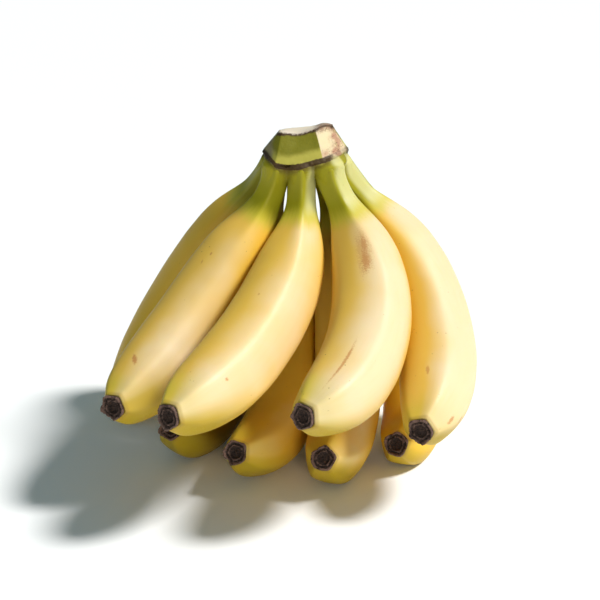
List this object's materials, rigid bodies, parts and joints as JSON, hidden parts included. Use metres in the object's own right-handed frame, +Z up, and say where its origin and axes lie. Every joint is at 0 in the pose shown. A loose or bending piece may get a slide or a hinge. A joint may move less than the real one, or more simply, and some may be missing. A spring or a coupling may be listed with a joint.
{
  "type": "bunch of bananas",
  "caption": "Hand of ripe yellow bananas with green stems joined at a cut crown, resting on its lower fruit.",
  "frame": {"origin": "centre of the bounding box in X and Y, on the surface that the bunch rests on", "axes": "+Z up, -Y the way the flower ends of the front row point, +X to the right seen from there"},
  "size_m": [0.1636, 0.1612, 0.1446],
  "materials": {
    "crown": "olive green skin, dry beige cut face and brown dried rims",
    "peel": "waxy yellow peel, olive green on the stems and faintly green at the tips, with brown freckles",
    "dried_flower": "dry, dark brown and rough"
  },
  "bodies": {
    "root": {"crown": "crown", "banana_1": "peel", "banana_2": "peel", "banana_3": "peel", "banana_4": "peel", "banana_5": "peel", "banana_6": "peel", "banana_7": "peel", "banana_8": "peel", "banana_9": "peel", "blossom_end_1": "dried_flower", "blossom_end_2": "dried_flower", "blossom_end_3": "dried_flower", "blossom_end_4": "dried_flower", "blossom_end_5": "dried_flower", "blossom_end_6": "dried_flower", "blossom_end_7": "dried_flower", "blossom_end_8": "dried_flower", "blossom_end_9": "dried_flower"}
  },
  "joints": []
}
